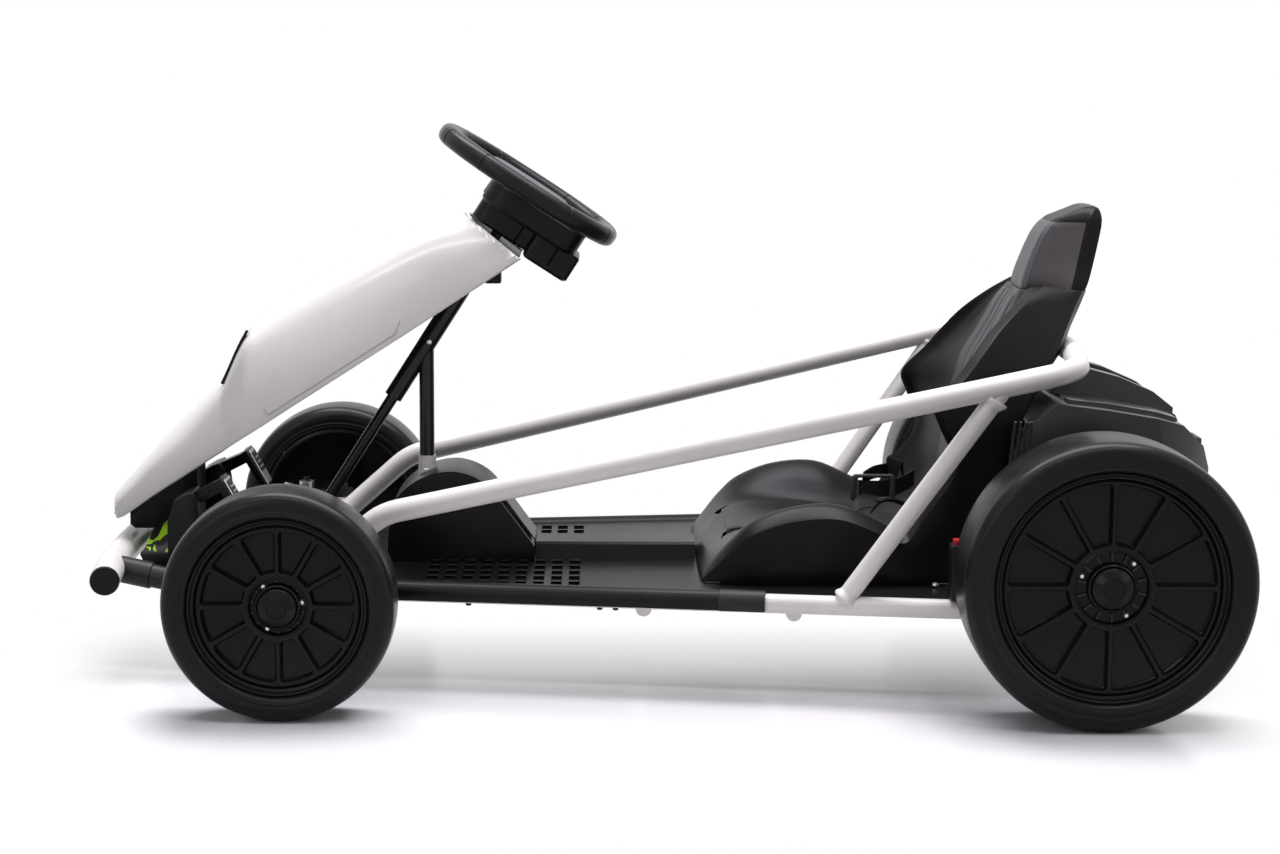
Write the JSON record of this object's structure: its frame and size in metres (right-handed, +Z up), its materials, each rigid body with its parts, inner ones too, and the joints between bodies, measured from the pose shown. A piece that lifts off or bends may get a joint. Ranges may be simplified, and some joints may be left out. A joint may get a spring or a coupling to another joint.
{
  "type": "electric drift kart",
  "caption": "Low ride-on electric kart with tube frame, sloping nose shell, steered front wheels, bucket seat and large smooth rear wheels.",
  "frame": {"origin": "on the ground at the middle of the kart's bounding box", "axes": "+X forward, +Y to the driver's left, +Z up"},
  "size_m": [1.3238, 0.812, 0.642],
  "materials": {
    "white_frame": "satin white powder coat",
    "white_shell": "gloss white",
    "black_metal": "satin black",
    "steel": "bright zinc",
    "black_plastic": "fine grain black",
    "gloss_black": "gloss black",
    "rubber_grip": "soft black",
    "tyre": "smooth rubber",
    "battery_case": "matt",
    "red_plastic": "gloss red"
  },
  "bodies": {
    "chassis": {"lower_frame": "white_frame", "side_rail": "white_frame", "brace_left": "white_frame", "brace_right": "white_frame", "front_bumper": "white_frame", "post_socket": "white_frame", "nose_panel": "white_shell", "steering_post": "black_metal", "column_sleeve": "black_metal", "rear_axle": "steel", "floor_pan": "black_plastic", "pan_edge_left": "black_plastic", "pan_edge_right": "black_plastic", "battery_cover": "black_plastic", "sleeve_front_left": "black_plastic", "sleeve_front_right": "black_plastic", "sleeve_rear_left": "black_plastic", "sleeve_rear_right": "black_plastic", "bumper_cap_left": "black_plastic", "bumper_cap_right": "black_plastic", "scoop_panel": "black_plastic", "nose_bracket": "black_plastic", "front_cover": "black_plastic", "pedal_left": "black_plastic", "pedal_right": "black_plastic", "seat_base": "black_plastic", "seat_back": "black_plastic", "rear_cover": "black_plastic", "tail_piece": "black_plastic", "drive_left": "black_plastic", "drive_right": "black_plastic", "switch_holder": "black_plastic", "battery_pack": "battery_case", "switch_knob": "red_plastic"},
    "steering": {"steering_wheel": "rubber_grip", "steering_hub": "black_plastic", "steering_shaft": "black_metal"},
    "knuckle_left": {"knuckle_left": "black_metal"},
    "knuckle_right": {"knuckle_right": "black_metal"},
    "tie_rod_left": {"tie_rod_left": "steel"},
    "tie_rod_right": {"tie_rod_right": "steel"},
    "wheel_front_left": {"tyre_front_left": "tyre", "rim_front_left": "gloss_black"},
    "wheel_front_right": {"tyre_front_right": "tyre", "rim_front_right": "gloss_black"},
    "wheel_rear_left": {"tyre_rear_left": "tyre", "rim_rear_left": "gloss_black"},
    "wheel_rear_right": {"tyre_rear_right": "tyre", "rim_rear_right": "gloss_black"}
  },
  "joints": [
    {"name": "steering_turn", "type": "hinge", "parent": "chassis", "child": "steering", "pos_m": [0.1575, 0, 0.5685], "axis": [-0.5373, 0, 0.8434], "range_deg": [-22, 22]},
    {"name": "knuckle_left_turn", "type": "hinge", "parent": "chassis", "child": "knuckle_left", "pos_m": [0.4115, 0.24, 0.128], "axis": [0, 0, 1], "range_deg": [-22, 22]},
    {"name": "tie_rod_left_swing", "type": "hinge", "parent": "knuckle_left", "child": "tie_rod_left", "pos_m": [0.4565, 0.24, 0.161], "axis": [0, 0, 1], "range_deg": [-22, 22]},
    {"name": "wheel_front_left_spin", "type": "hinge", "parent": "knuckle_left", "child": "wheel_front_left", "pos_m": [0.42, 0.327, 0.128], "axis": [0, 1, 0], "continuous": true},
    {"name": "wheel_rear_left_spin", "type": "hinge", "parent": "chassis", "child": "wheel_rear_left", "pos_m": [-0.48, 0.353, 0.16], "axis": [0, 1, 0], "continuous": true},
    {"name": "knuckle_right_turn", "type": "hinge", "parent": "chassis", "child": "knuckle_right", "pos_m": [0.4115, -0.24, 0.128], "axis": [0, 0, 1], "range_deg": [-22, 22]},
    {"name": "tie_rod_right_swing", "type": "hinge", "parent": "knuckle_right", "child": "tie_rod_right", "pos_m": [0.4565, -0.24, 0.161], "axis": [0, 0, 1], "range_deg": [-22, 22]},
    {"name": "wheel_front_right_spin", "type": "hinge", "parent": "knuckle_right", "child": "wheel_front_right", "pos_m": [0.42, -0.327, 0.128], "axis": [0, 1, 0], "continuous": true},
    {"name": "wheel_rear_right_spin", "type": "hinge", "parent": "chassis", "child": "wheel_rear_right", "pos_m": [-0.48, -0.353, 0.16], "axis": [0, 1, 0], "continuous": true}
  ],
  "couplings": [
    {"joint": "knuckle_left_turn", "follows": "steering_turn", "ratio": 1},
    {"joint": "tie_rod_left_swing", "follows": "steering_turn", "ratio": -1},
    {"joint": "knuckle_right_turn", "follows": "steering_turn", "ratio": 1},
    {"joint": "tie_rod_right_swing", "follows": "steering_turn", "ratio": -1}
  ]
}
